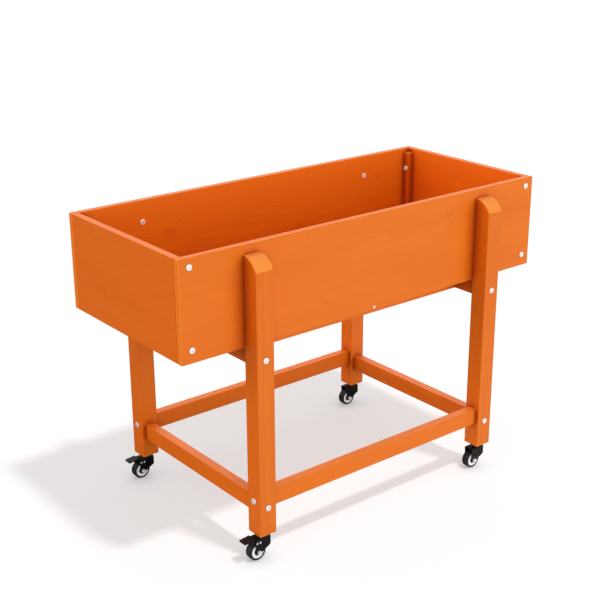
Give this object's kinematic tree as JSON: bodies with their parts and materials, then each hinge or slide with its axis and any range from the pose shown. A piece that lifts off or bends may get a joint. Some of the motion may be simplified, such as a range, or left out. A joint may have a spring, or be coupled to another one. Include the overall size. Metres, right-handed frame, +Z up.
{
  "type": "raised garden planter on casters",
  "caption": "Painted wooden trough planter raised on four outside legs with lower rails, rolling on swivel casters, with foot brakes on the casters at one end.",
  "frame": {"origin": "on the floor, under the middle of the box", "axes": "+X runs along the box away from the braked end, -Y is the front, +Z is up"},
  "size_m": [1.2, 0.6164, 0.836],
  "materials": {
    "painted_wood": "orange paint over softwood, grain showing through",
    "screw_steel": "bright zinc-plated",
    "insert_steel": "plain",
    "caster_zinc": "bright zinc-plated",
    "caster_black": "black, satin",
    "tyre": "matte",
    "wheel_core": "satin white",
    "wheel_bush": "black"
  },
  "bodies": {
    "planter": {"back_board": "painted_wood", "back_floor_bearer": "painted_wood", "back_left_corner_batten": "painted_wood", "back_left_leg": "painted_wood", "back_lower_rail": "painted_wood", "back_right_corner_batten": "painted_wood", "back_right_leg": "painted_wood", "bearer_screws": "screw_steel", "box_corner_screws": "screw_steel", "caster_ball_cups": "caster_black", "caster_balls": "caster_zinc", "caster_inserts": "insert_steel", "caster_stems": "caster_zinc", "cross_rail_screws": "screw_steel", "end_board_screws": "screw_steel", "floor_corner_screws": "screw_steel", "floor_edge_screws": "screw_steel", "floor_panel": "painted_wood", "front_board": "painted_wood", "front_floor_bearer": "painted_wood", "front_left_corner_batten": "painted_wood", "front_left_leg": "painted_wood", "front_lower_rail": "painted_wood", "front_right_corner_batten": "painted_wood", "front_right_leg": "painted_wood", "left_cross_rail": "painted_wood", "left_end_board": "painted_wood", "left_lower_rail": "painted_wood", "leg_screws": "screw_steel", "long_rail_screws": "screw_steel", "right_cross_rail": "painted_wood", "right_end_board": "painted_wood", "right_lower_rail": "painted_wood", "short_rail_screws": "screw_steel"},
    "front_left_swivel": {"front_left_brake_rivets": "caster_zinc", "front_left_caster_axle": "caster_zinc", "front_left_caster_fork": "caster_black"},
    "front_left_wheel": {"front_left_wheel_bushes": "wheel_bush", "front_left_wheel_hub": "wheel_core", "front_left_wheel_tyre": "tyre"},
    "front_left_pedal": {"front_left_brake_pedal": "caster_black"},
    "front_right_swivel": {"front_right_caster_axle": "caster_zinc", "front_right_caster_fork": "caster_black"},
    "front_right_wheel": {"front_right_wheel_bushes": "wheel_bush", "front_right_wheel_hub": "wheel_core", "front_right_wheel_tyre": "tyre"},
    "back_left_swivel": {"back_left_brake_rivets": "caster_zinc", "back_left_caster_axle": "caster_zinc", "back_left_caster_fork": "caster_black"},
    "back_left_wheel": {"back_left_wheel_bushes": "wheel_bush", "back_left_wheel_hub": "wheel_core", "back_left_wheel_tyre": "tyre"},
    "back_left_pedal": {"back_left_brake_pedal": "caster_black"},
    "back_right_swivel": {"back_right_caster_axle": "caster_zinc", "back_right_caster_fork": "caster_black"},
    "back_right_wheel": {"back_right_wheel_bushes": "wheel_bush", "back_right_wheel_hub": "wheel_core", "back_right_wheel_tyre": "tyre"}
  },
  "joints": [
    {"name": "front_left_caster_turn", "type": "hinge", "parent": "planter", "child": "front_left_swivel", "pos_m": [-0.3945, -0.2795, 0.072], "axis": [0, 0, 1], "continuous": true},
    {"name": "front_left_wheel_spin", "type": "hinge", "parent": "front_left_swivel", "child": "front_left_wheel", "pos_m": [-0.4175, -0.2795, 0.025], "axis": [0, 1, 0], "continuous": true},
    {"name": "front_left_brake_press", "type": "hinge", "parent": "front_left_swivel", "child": "front_left_pedal", "pos_m": [-0.4132, -0.2795, 0.052], "axis": [0, -1, 0], "range_deg": [0, 14]},
    {"name": "front_right_caster_turn", "type": "hinge", "parent": "planter", "child": "front_right_swivel", "pos_m": [0.3945, -0.2795, 0.072], "axis": [0, 0, 1], "continuous": true},
    {"name": "front_right_wheel_spin", "type": "hinge", "parent": "front_right_swivel", "child": "front_right_wheel", "pos_m": [0.3715, -0.2795, 0.025], "axis": [0, 1, 0], "continuous": true},
    {"name": "back_left_caster_turn", "type": "hinge", "parent": "planter", "child": "back_left_swivel", "pos_m": [-0.3945, 0.2795, 0.072], "axis": [0, 0, 1], "continuous": true},
    {"name": "back_left_wheel_spin", "type": "hinge", "parent": "back_left_swivel", "child": "back_left_wheel", "pos_m": [-0.4175, 0.2795, 0.025], "axis": [0, 1, 0], "continuous": true},
    {"name": "back_left_brake_press", "type": "hinge", "parent": "back_left_swivel", "child": "back_left_pedal", "pos_m": [-0.4132, 0.2795, 0.052], "axis": [0, -1, 0], "range_deg": [0, 14]},
    {"name": "back_right_caster_turn", "type": "hinge", "parent": "planter", "child": "back_right_swivel", "pos_m": [0.3945, 0.2795, 0.072], "axis": [0, 0, 1], "continuous": true},
    {"name": "back_right_wheel_spin", "type": "hinge", "parent": "back_right_swivel", "child": "back_right_wheel", "pos_m": [0.3715, 0.2795, 0.025], "axis": [0, 1, 0], "continuous": true}
  ]
}
